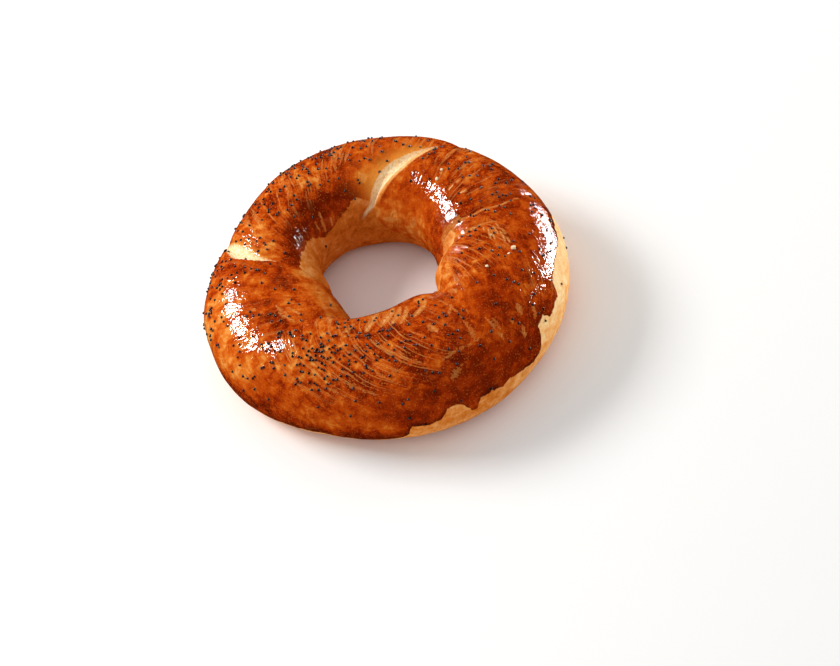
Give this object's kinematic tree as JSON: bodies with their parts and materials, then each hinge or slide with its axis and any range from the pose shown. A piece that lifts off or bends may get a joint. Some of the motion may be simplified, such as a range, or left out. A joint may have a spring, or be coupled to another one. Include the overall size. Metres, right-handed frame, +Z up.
{
  "type": "acma roll",
  "caption": "Soft twisted bread ring with an egg-glazed, red-brown crust, pale splits where the turns of dough lap, and poppy seeds baked on top; lies flat.",
  "frame": {"origin": "middle of the flat base, under the centre of the ring's box", "axes": "+Z up out of the base; -Y towards the broad front of the ring, +X towards its right-hand side"},
  "size_m": [0.134, 0.1314, 0.0368],
  "materials": {
    "crust": "egg-glazed baked crust"
  },
  "bodies": {
    "root": {"roll": "crust"}
  },
  "joints": []
}
